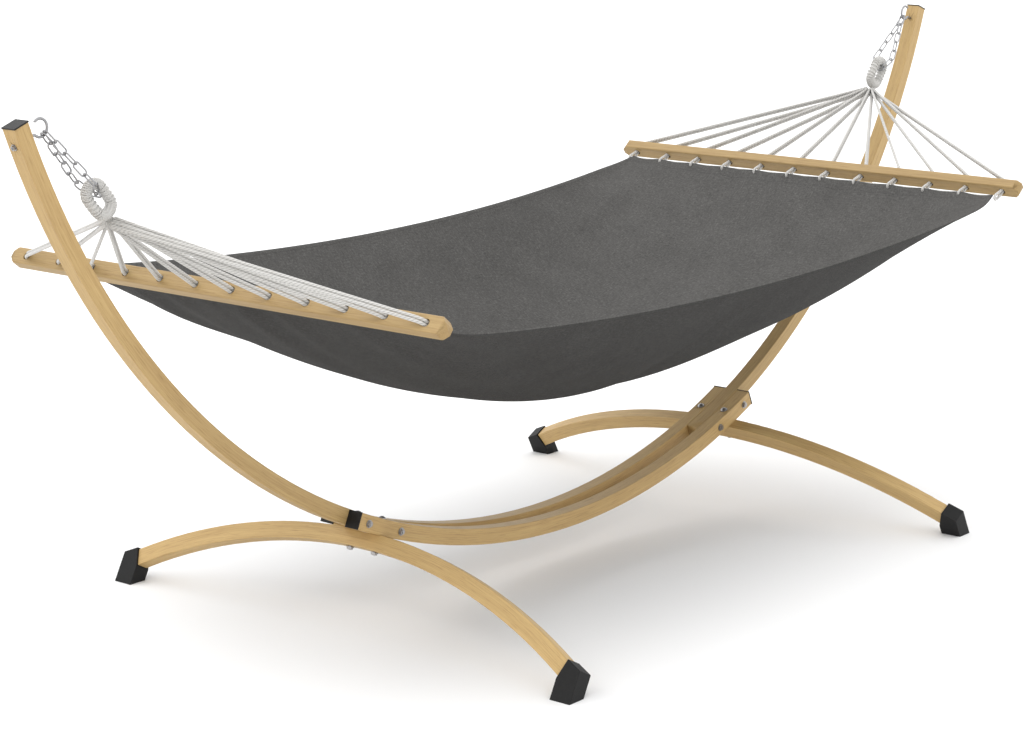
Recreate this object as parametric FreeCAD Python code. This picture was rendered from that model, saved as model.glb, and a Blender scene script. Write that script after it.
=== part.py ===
"""Hammock on a curved wooden stand, in millimetres.

X runs along the hammock, Y across it, Z up. The origin is on the floor under the middle of the
stand. Everything is symmetric about X = 0 and Y = 0, so the right-hand pieces (+X) are made
first and mirrored to make the left-hand ones. "Near" is -Y and "far" is +Y.
"""

import FreeCAD, Part
import math
import os

from FreeCAD import Vector

# ---- driving dimensions -------------------------------------------------------------------

# laminated beams
BEAM_WIDTH = 38.0            # of the arms, and of the slot between the two centre beams
BEAM_DEPTH = 38.0
CENTRE_BEAM_DEPTH = 40.0
EDGE_ROUND = 2.0
MAIN_RADIUS = 1915.0         # centreline of the two centre beams
MAIN_LOW = 109.0             # lowest height of that centreline
CENTRE_BEAM_END = 24.15      # degrees from the bottom of the main arc
ARM_RADIUS = 1752.0          # the arms bend a little tighter
TANGENT_AT = 14.0            # where the arm arc leaves the main arc, degrees
ARM_LOW_END = 18.7           # degrees on the arm arc
ARM_TIP = 70.1
CAP_THICKNESS = 3.0
CAP_RIM = 0.6

# cross legs
LEG_AT = 21.2                # degrees on the main arc
LEG_LEAN = 28.1              # lean of the leg's plane from upright, degrees
LEG_RADIUS = 1374.0
LEG_WIDTH = 34.0
LEG_DEPTH = 40.0
LEG_END = 30.2               # degrees on the leg arc
SEAT_DEPTH = 2.0             # how far the crown is let in under the beams

# rubber boots
BOOT_WALL = 5.0
BOOT_INNER = 656.0           # across the hammock, from the middle
BOOT_OUTER = 711.5
BOOT_MOUTH_LOW = 214.0       # depths below the crown, in the leg's plane
BOOT_MOUTH_TOP = 168.5
BOOT_MOUTH_REACH = 16.0
BOOT_SHOULDER = 187.0
BOOT_SOLE = 270.0

# fasteners
BOLT_RADIUS = 4.0
BOLT_HOLE = 4.2
BOLT_HEAD = 9.0
BOLT_HEAD_RISE = 4.5
WASHER_RADIUS = 9.5
WASHER_THICKNESS = 1.5
NUT_ACROSS = 13.0
NUT_HEIGHT = 4.5
BOLT_SPARE = 1.2
SEAT_GAP = 0.25              # flat washers against curved faces
CLAMP_BOLTS_AT = (19.6, 23.1)
LEG_BOLTS_AT = 21.2

# hooks
HOOK_AT = 68.75              # degrees on the arm arc
HOOK_WIRE = 3.0
HOOK_RADIUS = 18.5
HOOK_REACH = 34.9            # bend centre, out from the arm's inner face
HOOK_RISE = 5.9              # and above the shank's axis
HOOK_NECK_RADIUS = 8.0
HOOK_WASHER_RADIUS = 7.0
HOOK_NUT_ACROSS = 10.0
HOOK_TIP = 115.0             # degrees round the bend from the shank's direction

# rope eye, an oblong whipped ring with a flared neck
EYE_X = 1478.5
EYE_Z = 1095.8
EYE_LEAN = 44.0              # of its long axis, degrees from upright
EYE_TURN = 22.0              # centreline radius of its two ends
EYE_STRAIGHT = 16.0          # half length of its straight sides
EYE_ROPE = 12.5
NECK_INNER = 6.0
NECK_OUTER = 30.0
NECK_STEM = 12.5
NECK_X = 1453.6              # where the fan's ropes converge
NECK_Z = 1049.6
NECK_HALF_ANGLE = 66.0
NECK_THICKNESS = 27.0

# chain, doubled through the eye
LINK_PITCH = 31.3
LINK_WIRE = 1.8
LINK_INNER_WIDTH = 11.0
LINK_CLEARANCE = 0.8
LINKS_PER_SIDE = 6
CHAIN_SPREAD = 28.0          # sideways, just above the ring
CHAIN_ON_HOOK = 3.1          # each strand to its own side along the hook's wire
CHAIN_ASIDE = 0.1            # and across it
CHAIN_LIFT = 1.5             # slack between the top links and the hook

# spreader bars
BAR_X = 1155.6
BAR_Z = 859.4
BAR_TILT = 39.0              # of the rope holes, degrees from level
BAR_LENGTH = 1300.0
BAR_WIDTH = 41.0
BAR_THICKNESS = 29.0
BAR_END_CHAMFER = 13.0
BAR_EDGE_ROUND = 4.0
HOLE_RADIUS = 9.2
LOOPS = 12
LOOP_SPACING = 109.4

# fan ropes and hem cords
ROPE = 3.0
ROPE_LEVEL = 6.7
STRAND_AT_NECK = 3.3
STRAND_AT_HOLE = 3.8
ENTRY_HEIGHT = 4.0
ENTRY_BEND = 9.0
HEM_CORD = 2.5
HEM_GAP = 31.4               # from the bar's inner face to the hem cord
HEM_RISE = 11.0              # of the hem cord, up the bar's face
HEM_LOOP = 5.7
HEM_CORD_LENGTH = 1172.0

# fabric bed
BED_END_X = 1100.0
BED_END_Z = 837.0
BED_SPLIT = 0.6              # where each half starts, out from the middle
BED_HALF_WIDTH = 600.0
BED_WAIST = 11.0             # how far the long edges draw in at the middle
EDGE_SAG = 58.0
BELLY_DEPTH = 326.0
BED_THICKNESS = 3.0
BED_ROWS = 13
BED_COLUMNS = 17

UP = Vector(0, 0, 1)
ACROSS = Vector(0, 1, 0)
MAIN_CENTRE_Z = MAIN_LOW + MAIN_RADIUS
ARM_CENTRE_X = (MAIN_RADIUS - ARM_RADIUS) * math.sin(math.radians(TANGENT_AT))
ARM_CENTRE_Z = MAIN_CENTRE_Z - (MAIN_RADIUS - ARM_RADIUS) * math.cos(math.radians(TANGENT_AT))


# ---- small helpers ------------------------------------------------------------------------

def save(name, shape):
    """Write one node; a plain solid is written bare, separate solids as one compound."""
    solids = shape.Solids
    body = solids[0] if len(solids) == 1 else Part.makeCompound(solids)
    body.exportStep(os.path.join("parts", name + ".step"))


def mirrored(shape, normal=Vector(1, 0, 0)):
    """Reflect a shape in the plane through the origin with the given normal."""
    return shape.mirror(Vector(0, 0, 0), normal)


def on_circle(centre_x, centre_z, radius, degrees, y=0.0):
    """Point on an arc in the XZ plane, with the angle measured from straight down."""
    angle = math.radians(degrees)
    return Vector(centre_x + radius * math.sin(angle), y, centre_z - radius * math.cos(angle))


def arc_edge(a, b, c):
    return Part.Arc(a, b, c).toShape()


def line_edge(a, b):
    return Part.LineSegment(a, b).toShape()


def rounded(shape, radius, wanted):
    """Round the edges that the test picks out."""
    edges = [edge for edge in shape.Edges if wanted(edge)]
    return shape.makeFillet(radius, edges)


def rod(start, end, radius):
    """Round rod between two points."""
    along = end - start
    return Part.makeCylinder(radius, along.Length, start, along)


def frame_point(origin, u_axis, v_axis, u, v):
    return origin + u_axis * u + v_axis * v


# ---- beams --------------------------------------------------------------------------------

def curved_beam(centre_x, centre_z, radius, depth, y_low, y_high, start, end):
    """Beam of rectangular section bent to an arc, between two angles in degrees."""
    inner = radius - depth / 2
    outer = radius + depth / 2
    middle = (start + end) / 2
    corner = [on_circle(centre_x, centre_z, r, a, y_low)
              for r, a in ((inner, start), (inner, end), (outer, end), (outer, start))]
    wire = Part.Wire([
        arc_edge(corner[0], on_circle(centre_x, centre_z, inner, middle, y_low), corner[1]),
        line_edge(corner[1], corner[2]),
        arc_edge(corner[2], on_circle(centre_x, centre_z, outer, middle, y_low), corner[3]),
        line_edge(corner[3], corner[0]),
    ])
    return Part.Face(wire).extrude(Vector(0, y_high - y_low, 0))


def soften(beam):
    """Take the sharpness off the long curved edges."""
    return rounded(beam, EDGE_ROUND, lambda edge: edge.Length > 10 * BEAM_DEPTH)


def cap_angle(radius):
    return math.degrees(CAP_THICKNESS / radius)


def arm():
    """Right arm, from its foot between the centre beams up to its tip."""
    half = BEAM_WIDTH / 2
    end = ARM_TIP - cap_angle(ARM_RADIUS)
    beam = soften(curved_beam(ARM_CENTRE_X, ARM_CENTRE_Z, ARM_RADIUS, BEAM_DEPTH,
                              -half, half, ARM_LOW_END, end))
    for start, finish in clamp_axes():
        beam = beam.cut(rod(start, finish, BOLT_HOLE))
    face, inward, _ = hook_frame()
    drill = rod(face + inward * 5, face - inward * (BEAM_DEPTH + 5), HOOK_WIRE + 0.2)
    return beam.cut(drill)


def arm_cap():
    """Black cap over the arm's tip."""
    half = BEAM_WIDTH / 2 + CAP_RIM
    return curved_beam(ARM_CENTRE_X, ARM_CENTRE_Z, ARM_RADIUS, BEAM_DEPTH + 2 * CAP_RIM,
                       -half, half, ARM_TIP - cap_angle(ARM_RADIUS), ARM_TIP)


def centre_beam():
    """Far centre beam, on the +Y side of the arms, from end to end."""
    end = CENTRE_BEAM_END - cap_angle(MAIN_RADIUS)
    near_side = BEAM_WIDTH / 2
    beam = soften(curved_beam(0, MAIN_CENTRE_Z, MAIN_RADIUS, CENTRE_BEAM_DEPTH,
                              near_side, near_side + BEAM_WIDTH, -end, end))
    for axis in clamp_axes() + leg_bolt_axes():
        hole = rod(axis[0], axis[1], BOLT_HOLE)
        beam = beam.cut(hole).cut(mirrored(hole))
    return beam


def centre_beam_cap():
    """Cap over the +X end of the far centre beam."""
    low = BEAM_WIDTH / 2 + 0.1
    high = BEAM_WIDTH * 1.5 + CAP_RIM
    return curved_beam(0, MAIN_CENTRE_Z, MAIN_RADIUS, CENTRE_BEAM_DEPTH + 2 * CAP_RIM,
                       low, high, CENTRE_BEAM_END - cap_angle(MAIN_RADIUS), CENTRE_BEAM_END)


# ---- cross legs and boots -----------------------------------------------------------------

def leg_frame():
    """Crown point of the right leg, and the down and outward directions of its plane."""
    lean = math.radians(LEG_LEAN)
    crown_radius = MAIN_RADIUS + CENTRE_BEAM_DEPTH / 2 - SEAT_DEPTH
    crown = on_circle(0, MAIN_CENTRE_Z, crown_radius, LEG_AT)
    down = Vector(math.sin(lean), 0, -math.cos(lean))
    outward = Vector(math.cos(lean), 0, math.sin(lean))
    return crown, down, outward


def leg_point(y, depth, offset):
    """Point in the leg's own coordinates: across, down from the crown, and out of its plane."""
    crown, down, outward = leg_frame()
    return crown + down * depth + outward * offset + ACROSS * y


def leg_arc_point(radius, degrees, offset):
    angle = math.radians(degrees)
    depth = LEG_RADIUS + LEG_DEPTH / 2 - radius * math.cos(angle)
    return leg_point(radius * math.sin(angle), depth, offset)


def plain_leg():
    """The leg as bent, before its seat is cut and its bolt holes are drilled."""
    outer = LEG_RADIUS + LEG_DEPTH / 2
    inner = LEG_RADIUS - LEG_DEPTH / 2
    side = -LEG_WIDTH / 2
    top = [leg_arc_point(outer, a, side) for a in (-LEG_END, 0, LEG_END)]
    bottom = [leg_arc_point(inner, a, side) for a in (LEG_END, 0, -LEG_END)]
    wire = Part.Wire([
        arc_edge(top[0], top[1], top[2]),
        line_edge(top[2], bottom[0]),
        arc_edge(bottom[0], bottom[1], bottom[2]),
        line_edge(bottom[2], top[0]),
    ])
    _, _, outward = leg_frame()
    return soften(Part.Face(wire).extrude(outward * LEG_WIDTH))


def cross_leg():
    """Right leg: an arch with a shallow seat for the two centre beams."""
    half = BEAM_WIDTH * 1.5
    seat = curved_beam(0, MAIN_CENTRE_Z, MAIN_RADIUS, CENTRE_BEAM_DEPTH,
                       -half, half, LEG_AT - 3, LEG_AT + 3)
    leg = plain_leg().cut(seat)
    for start, finish in leg_bolt_axes():
        hole = rod(start, finish, BOLT_HOLE)
        leg = leg.cut(hole).cut(mirrored(hole, ACROSS))
    return leg


def boot():
    """Right far boot: a rubber block with a flat sole that the leg's end sits in."""
    half = LEG_WIDTH / 2 + BOOT_WALL
    outline = (
        (BOOT_INNER, BOOT_SOLE),
        (BOOT_INNER, BOOT_MOUTH_LOW),
        (BOOT_INNER + BOOT_MOUTH_REACH, BOOT_MOUTH_TOP),
        (BOOT_OUTER, BOOT_SHOULDER),
        (BOOT_OUTER, BOOT_SOLE),
    )
    corners = [leg_point(y, depth, -half) for y, depth in outline]
    _, _, outward = leg_frame()
    block = Part.Face(Part.makePolygon(corners + corners[:1])).extrude(outward * (2 * half))
    block = rounded(block, 1.5, lambda edge: edge.Length > 30)
    room = Part.makeBox(400, 400, 400, Vector(600, 500, 0))
    return block.common(room).cut(plain_leg())


# ---- fasteners ----------------------------------------------------------------------------

def clamp_axes():
    """Axes of the bolts that clamp the arm between the centre beams, near side to far side."""
    half = BEAM_WIDTH * 1.5
    return [(on_circle(0, MAIN_CENTRE_Z, MAIN_RADIUS, a, -half),
             on_circle(0, MAIN_CENTRE_Z, MAIN_RADIUS, a, half)) for a in CLAMP_BOLTS_AT]


def leg_bolt_axes():
    """Axis of the far bolt through a centre beam and the leg below it, top to bottom."""
    top_radius = MAIN_RADIUS - CENTRE_BEAM_DEPTH / 2 - SEAT_GAP
    bottom_radius = MAIN_RADIUS + CENTRE_BEAM_DEPTH / 2 + LEG_DEPTH + SEAT_GAP
    return [(on_circle(0, MAIN_CENTRE_Z, top_radius, LEG_BOLTS_AT, BEAM_WIDTH),
             on_circle(0, MAIN_CENTRE_Z, bottom_radius, LEG_BOLTS_AT, BEAM_WIDTH))]


def domed_head(seat, outward):
    """Low domed bolt head standing on a seat point."""
    sphere_radius = (BOLT_HEAD ** 2 + BOLT_HEAD_RISE ** 2) / (2 * BOLT_HEAD_RISE)
    ball = Part.makeSphere(sphere_radius, seat - outward * (sphere_radius - BOLT_HEAD_RISE))
    return ball.common(Part.makeCylinder(BOLT_HEAD, BOLT_HEAD_RISE, seat, outward))


def bolt(head_seat, nut_seat):
    """Dome-headed bolt; both seats are the outer faces of its washers."""
    along = (nut_seat - head_seat).normalize()
    tail = nut_seat + along * (NUT_HEIGHT + BOLT_SPARE)
    return rod(head_seat, tail, BOLT_RADIUS).fuse(domed_head(head_seat, along * -1)).removeSplitter()


def washer(seat, outward, radius, hole):
    plate = Part.makeCylinder(radius, WASHER_THICKNESS, seat, outward)
    return plate.cut(Part.makeCylinder(hole, WASHER_THICKNESS * 3, seat - outward * 2, outward))


def hex_nut(seat, outward, across, height, hole):
    """Hexagonal nut standing on a seat point, with chamfered outer corners."""
    side = outward.cross(ACROSS)
    if side.Length < 0.5:
        side = outward.cross(UP)
    side.normalize()
    other = outward.cross(side)
    circum = across / math.sqrt(3)
    corners = []
    for k in range(6):
        angle = math.radians(60 * k)
        corners.append(seat + side * (circum * math.cos(angle)) + other * (circum * math.sin(angle)))
    block = Part.Face(Part.makePolygon(corners + corners[:1])).extrude(outward * height)
    cone = Part.makeCone(circum + height * 0.5, circum - height * 0.12, height, seat, outward)
    return block.common(cone).cut(Part.makeCylinder(hole, height * 3, seat - outward * height, outward))


def fastened(axis, hole):
    """Bolt, nut and two washers for one axis."""
    head_side, nut_side = axis
    along = (nut_side - head_side).normalize()
    head_seat = head_side - along * WASHER_THICKNESS
    nut_seat = nut_side + along * WASHER_THICKNESS
    return {
        "bolts": [bolt(head_seat, nut_seat)],
        "washers": [washer(head_side, along * -1, WASHER_RADIUS, hole),
                    washer(nut_side, along, WASHER_RADIUS, hole)],
        "nuts": [hex_nut(nut_seat, along, NUT_ACROSS, NUT_HEIGHT, BOLT_RADIUS)],
    }


def gathered(axes, hole):
    """All the fasteners for a list of axes, sorted by kind."""
    kinds = {"bolts": [], "washers": [], "nuts": []}
    for axis in axes:
        for kind, shapes in fastened(axis, hole).items():
            kinds[kind].extend(shapes)
    return kinds


def clamp_fasteners():
    """Heads on the far side, nuts on the near side."""
    return gathered([(far, near) for near, far in clamp_axes()], BOLT_RADIUS)


def leg_fasteners():
    top, bottom = leg_bolt_axes()[0]
    flip = Vector(top.x, -top.y, top.z), Vector(bottom.x, -bottom.y, bottom.z)
    return gathered([(top, bottom), flip], BOLT_RADIUS)


# ---- hooks --------------------------------------------------------------------------------

def hook_frame():
    """Where the right shank leaves the arm, its direction, and the direction above it."""
    inner = ARM_RADIUS - BEAM_DEPTH / 2
    face = on_circle(ARM_CENTRE_X, ARM_CENTRE_Z, inner, HOOK_AT)
    angle = math.radians(HOOK_AT)
    inward = Vector(-math.sin(angle), 0, math.cos(angle))
    above = Vector(math.cos(angle), 0, math.sin(angle))
    return face, inward, above


def hook_point(u, v):
    face, inward, above = hook_frame()
    return frame_point(face, inward, above, u, v)


def bend_centre():
    return hook_point(HOOK_REACH, HOOK_RISE)


def hook():
    """Threaded shank, a small neck bend, and an open C that faces the arm."""
    join = HOOK_RADIUS + HOOK_NECK_RADIUS
    rise = HOOK_RISE + HOOK_NECK_RADIUS
    neck_start = HOOK_REACH - math.sqrt(join ** 2 - rise ** 2)
    toward_neck = math.atan2(-rise, neck_start - HOOK_REACH)
    shank_end = -(BEAM_DEPTH + WASHER_THICKNESS + NUT_HEIGHT + BOLT_SPARE)

    def on_neck(angle):
        return hook_point(neck_start + HOOK_NECK_RADIUS * math.cos(angle),
                          -HOOK_NECK_RADIUS + HOOK_NECK_RADIUS * math.sin(angle))

    def on_bend(angle):
        return hook_point(HOOK_REACH + HOOK_RADIUS * math.cos(angle),
                          HOOK_RISE + HOOK_RADIUS * math.sin(angle))

    neck_finish = toward_neck + math.pi
    bend_finish = math.radians(HOOK_TIP)
    path = Part.Wire([
        line_edge(hook_point(shank_end, 0), hook_point(neck_start, 0)),
        arc_edge(on_neck(math.pi / 2), on_neck((math.pi / 2 + neck_finish) / 2), on_neck(neck_finish)),
        arc_edge(on_bend(toward_neck), on_bend((toward_neck + bend_finish) / 2), on_bend(bend_finish)),
    ])
    return round_tube(path, HOOK_WIRE)


def round_tube(path, radius):
    """Solid of round section along a smooth wire."""
    first = path.OrderedEdges[0]
    start = first.valueAt(first.FirstParameter)
    direction = first.tangentAt(first.FirstParameter)
    if first.Orientation == "Reversed":
        start = first.valueAt(first.LastParameter)
        direction = first.tangentAt(first.LastParameter) * -1
    section = Part.Wire([Part.Circle(start, direction, radius).toShape()])
    return path.makePipeShell([section], True, True)


def hook_fasteners():
    """Washer and nut on the arm's outer face."""
    _, inward, _ = hook_frame()
    outward = inward * -1
    seat = hook_point(-BEAM_DEPTH, 0)
    plate = washer(seat, outward, HOOK_WASHER_RADIUS, HOOK_WIRE)
    nut = hex_nut(seat + outward * WASHER_THICKNESS, outward, HOOK_NUT_ACROSS, NUT_HEIGHT, HOOK_WIRE)
    return plate, nut


# ---- chain and rope eye -------------------------------------------------------------------

def eye_centre():
    return Vector(EYE_X, 0, EYE_Z)


def eye_axis():
    """Direction down the rope eye's long axis, towards the fan."""
    lean = math.radians(EYE_LEAN)
    return Vector(-math.sin(lean), 0, -math.cos(lean))


def eye_bearing():
    """Where the chain bears, at the top of the eye's hole."""
    return eye_centre() - eye_axis() * (EYE_STRAIGHT + EYE_TURN - EYE_ROPE)


def pull_direction():
    """Direction of the chain's pull, from the hook's bend to the rope eye."""
    return (eye_bearing() - bend_centre()).normalize()


def oblong(middle, along, side, straight, turn, wire):
    """Closed ring of round section, with straight sides and half-round ends."""
    def at(u, v):
        return frame_point(middle, along, side, u, v)

    ring = Part.Wire([
        line_edge(at(-straight, turn), at(straight, turn)),
        arc_edge(at(straight, turn), at(straight + turn, 0), at(straight, -turn)),
        line_edge(at(straight, -turn), at(-straight, -turn)),
        arc_edge(at(-straight, -turn), at(-straight - turn, 0), at(-straight, turn)),
    ])
    section = Part.Wire([Part.Circle(at(-straight, turn), along, wire).toShape()])
    return ring.makePipeShell([section], True, True)


def link_sizes():
    """Half length of a link's straight sides, and the centreline radius of its ends."""
    turn = LINK_INNER_WIDTH / 2 + LINK_WIRE
    return (LINK_PITCH + LINK_CLEARANCE) / 2 + LINK_WIRE - turn, turn


def link(start, end, side):
    """Chain link between two bearing points; side is the direction across the link."""
    along = (end - start).normalize()
    side = (side - along * side.dot(along)).normalize()
    straight, turn = link_sizes()
    return oblong((start + end) / 2, along, side, straight, turn, LINK_WIRE)


def chain():
    """Two strands from the hook, joined by one link through the rope eye."""
    pull = pull_direction()
    aside = pull.cross(ACROSS)
    top = bend_centre() + pull * (HOOK_RADIUS - HOOK_WIRE - CHAIN_LIFT)
    straight, _ = link_sizes()
    upper = LINKS_PER_SIDE - 1
    reach = LINK_PITCH + LINK_INNER_WIDTH / 2
    drop = math.sqrt((upper * LINK_PITCH) ** 2 - CHAIN_SPREAD ** 2)
    last_drop = math.sqrt(reach ** 2 - (CHAIN_SPREAD - straight) ** 2)
    low = top + pull * (drop + last_drop)
    links = []
    for hand in (-1, 1):
        begin = top + aside * (CHAIN_ON_HOOK * hand) + ACROSS * (CHAIN_ASIDE * hand)
        wide = top + pull * drop + ACROSS * (CHAIN_SPREAD * hand)
        corner = low + ACROSS * (straight * hand)
        bearing = [begin + (wide - begin) * (k / upper) for k in range(LINKS_PER_SIDE)]
        bearing.append(corner + (wide - corner).normalize() * (LINK_INNER_WIDTH / 2))
        for k in range(LINKS_PER_SIDE):
            side = ACROSS if k % 2 == 0 else aside
            links.append(link(bearing[k], bearing[k + 1], side))
    half_bottom = LINK_PITCH / 2
    links.append(link(low - ACROSS * half_bottom, low + ACROSS * half_bottom, pull))
    return Part.makeCompound(links)


def fan_frame():
    """Where the fan's ropes converge, the fan's middle direction, and the one above it."""
    centre = Vector(NECK_X, 0, NECK_Z)
    hole = bar_point(0, ENTRY_HEIGHT + BAR_THICKNESS / 2, 0)
    middle = (hole - centre).normalize()
    above = ACROSS.cross(middle)
    if above.z < 0:
        above = above * -1
    return centre, middle, above


def rope_eye():
    """Whipped rope ring with the flared neck that the fan ropes leave."""
    ring = oblong(eye_centre(), eye_axis(), eye_axis().cross(ACROSS), EYE_STRAIGHT, EYE_TURN, EYE_ROPE)
    centre, middle, above = fan_frame()

    def at(radius, degrees):
        angle = math.radians(degrees)
        along = middle * (radius * math.cos(angle)) + ACROSS * (radius * math.sin(angle))
        return centre + along - above * (NECK_THICKNESS / 2)

    wide = NECK_HALF_ANGLE
    wire = Part.Wire([
        arc_edge(at(NECK_INNER, -wide), at(NECK_INNER, 0), at(NECK_INNER, wide)),
        line_edge(at(NECK_INNER, wide), at(NECK_OUTER, wide)),
        arc_edge(at(NECK_OUTER, wide), at(NECK_OUTER, 0), at(NECK_OUTER, -wide)),
        line_edge(at(NECK_OUTER, -wide), at(NECK_INNER, -wide)),
    ])
    low_end = eye_centre() + eye_axis() * (EYE_STRAIGHT + EYE_TURN)
    stem = rod(low_end, centre + middle * (NECK_OUTER / 2), NECK_STEM)
    neck = Part.Face(wire).extrude(above * NECK_THICKNESS).fuse(stem)
    return ring.fuse(neck).removeSplitter()


# ---- spreader bar, fan ropes, hem cord ----------------------------------------------------

def bar_axes():
    """Direction of the bar's rope holes, outward and up, and the direction up its face."""
    tilt = math.radians(BAR_TILT)
    outward = Vector(math.cos(tilt), 0, math.sin(tilt))
    face_up = Vector(-math.sin(tilt), 0, math.cos(tilt))
    return outward, face_up


def bar_point(y, out, up):
    """Point in the bar's own coordinates: along it, out through its holes, up its face."""
    outward, face_up = bar_axes()
    return Vector(BAR_X, y, BAR_Z) + outward * out + face_up * up


def hem_point(y):
    """Point on the hem cord, which the loops pull on from the bar's inner face."""
    return bar_point(y, -BAR_THICKNESS / 2 - HEM_GAP, HEM_RISE)


def loop_places():
    return [(k - (LOOPS - 1) / 2) * LOOP_SPACING for k in range(LOOPS)]


def spreader_bar():
    """Flat bar with chamfered ends and a row of rope holes."""
    outward, _ = bar_axes()
    half_length = BAR_LENGTH / 2
    half_width = BAR_WIDTH / 2
    cut = BAR_END_CHAMFER
    outline = []
    for end in (-1, 1):
        corners = [(end * (half_length - cut), -half_width), (end * half_length, -half_width + cut),
                   (end * half_length, half_width - cut), (end * (half_length - cut), half_width)]
        outline.extend(corners if end > 0 else corners[::-1])
    points = [bar_point(y, -BAR_THICKNESS / 2, up) for y, up in outline]
    bar = Part.Face(Part.makePolygon(points + points[:1])).extrude(outward * BAR_THICKNESS)
    bar = rounded(bar, BAR_EDGE_ROUND, lambda edge: edge.Length > BAR_LENGTH / 2)
    for y in loop_places():
        bar = bar.cut(rod(bar_point(y, -BAR_THICKNESS, 0), bar_point(y, BAR_THICKNESS, 0), HOLE_RADIUS))
    return bar


def smooth_path(points, radii):
    """Wire of straight runs joined by tangent arcs; radii has one entry for each inner point."""
    edges = []
    last = points[0]
    for before, corner, after, radius in zip(points, points[1:], points[2:], radii):
        into = (corner - before).normalize()
        out = (after - corner).normalize()
        half_turn = into.getAngle(out) / 2
        reach = radius * math.tan(half_turn)
        start = corner - into * reach
        finish = corner + out * reach
        inward = (out - into).normalize()
        centre = corner + inward * (radius / math.cos(half_turn))
        edges.append(line_edge(last, start))
        edges.append(arc_edge(start, centre - inward * radius, finish))
        last = finish
    edges.append(line_edge(last, points[-1]))
    return Part.Wire(edges)


def rope_loop(k):
    """One loop: from the neck, through a hole, round the hem cord, and back."""
    centre, middle, above = fan_frame()
    y = loop_places()[k]
    entry = bar_point(y, BAR_THICKNESS / 2 + ENTRY_HEIGHT, 0)
    level = ROPE_LEVEL if k % 2 else -ROPE_LEVEL
    ray = entry - centre
    flat_ray = (ray - above * ray.dot(above)).normalize()
    leave = bar_point(y, -BAR_THICKNESS / 2 - 2, 0)
    cord = hem_point(y)
    slant = (cord - leave).normalize()
    _, face_up = bar_axes()
    beside = ACROSS.cross(slant)
    if beside.dot(face_up) < 0:
        beside = beside * -1

    def half(hand):
        begin = centre + flat_ray * (NECK_OUTER + 0.3) + above * (level + STRAND_AT_NECK * hand)
        side = STRAND_AT_HOLE * hand
        return [begin,
                bar_point(y, BAR_THICKNESS / 2 + ENTRY_HEIGHT, side),
                leave + face_up * side,
                cord + slant * HEM_LOOP + beside * ((HEM_LOOP + 0.6) * hand)]

    points = half(1) + half(-1)[::-1]
    radii = [ENTRY_BEND, 40.0, HEM_LOOP, HEM_LOOP, 40.0, ENTRY_BEND]
    return round_tube(smooth_path(points, radii), ROPE)


def fan_ropes():
    return Part.makeCompound([rope_loop(k) for k in range(LOOPS)])


def hem_cord():
    """Cord along the end hem, through all the rope loops."""
    return rod(hem_point(-HEM_CORD_LENGTH / 2), hem_point(HEM_CORD_LENGTH / 2), HEM_CORD)


# ---- fabric bed ---------------------------------------------------------------------------

def bed_point(u, v, drop):
    """Point of the hanging cloth: u from the middle to the end hem, v from edge to edge."""
    to_end = 1 - u
    width = BED_HALF_WIDTH - BED_WAIST * (1 - u * u)
    edge = BED_END_Z - EDGE_SAG * (1 - u * u)
    depth = BELLY_DEPTH * (1 - u ** 1.7) ** 0.8
    roundness = 3.2 - 1.3 * to_end
    z = edge - depth * (1 - abs(v) ** roundness)
    return Vector(BED_SPLIT + (BED_END_X - BED_SPLIT) * u, width * v, z - drop)


def bed_half():
    """Right half of the bed, from the middle of the cloth to the end hem."""
    def grid(drop):
        rows = []
        for i in range(BED_ROWS):
            u = math.sin(math.pi / 2 * i / (BED_ROWS - 1))
            columns = [2 * j / (BED_COLUMNS - 1) - 1 for j in range(BED_COLUMNS)]
            rows.append([bed_point(u, v, drop) for v in columns])
        surface = Part.BSplineSurface()
        surface.interpolate(rows)
        return surface

    upper = grid(0)
    lower = grid(BED_THICKNESS)
    faces = [upper.toShape(), lower.toShape()]
    u_first, u_last, v_first, v_last = upper.bounds()
    for constant in (u_first, u_last):
        faces.append(Part.makeRuledSurface(upper.uIso(constant).toShape(), lower.uIso(constant).toShape()))
    for constant in (v_first, v_last):
        faces.append(Part.makeRuledSurface(upper.vIso(constant).toShape(), lower.vIso(constant).toShape()))
    shell = Part.makeShell(faces)
    shell.sewShape()
    solid = Part.makeSolid(shell)
    return solid if solid.Volume > 0 else solid.reversed()


# ---- all the nodes ------------------------------------------------------------------------

def both_ends(name, shape):
    """Save a right-hand piece and its left-hand mirror image."""
    save("right_" + name, shape)
    save("left_" + name, mirrored(shape))


def main():
    os.makedirs("parts", exist_ok=True)
    both_ends("arm", arm())
    both_ends("arm_cap", arm_cap())
    both_ends("cross_leg", cross_leg())
    far_boot = boot()
    both_ends("far_boot", far_boot)
    both_ends("near_boot", mirrored(far_boot, ACROSS))

    far_beam = centre_beam()
    save("far_centre_beam", far_beam)
    save("near_centre_beam", mirrored(far_beam, ACROSS))
    cap = centre_beam_cap()
    save("far_beam_right_cap", cap)
    save("far_beam_left_cap", mirrored(cap))
    save("near_beam_right_cap", mirrored(cap, ACROSS))
    save("near_beam_left_cap", mirrored(mirrored(cap, ACROSS)))

    for family, kinds in (("clamp", clamp_fasteners()), ("leg", leg_fasteners())):
        for kind, shapes in kinds.items():
            everywhere = shapes + [mirrored(shape) for shape in shapes]
            save(family + "_" + kind, Part.makeCompound(everywhere))

    both_ends("hook", hook())
    plate, nut = hook_fasteners()
    save("hook_washers", Part.makeCompound([plate, mirrored(plate)]))
    save("hook_nuts", Part.makeCompound([nut, mirrored(nut)]))

    both_ends("chain", chain())
    both_ends("rope_eye", rope_eye())
    both_ends("spreader_bar", spreader_bar())
    both_ends("fan_ropes", fan_ropes())
    both_ends("hem_cord", hem_cord())
    both_ends("bed_half", bed_half())


main()
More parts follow.
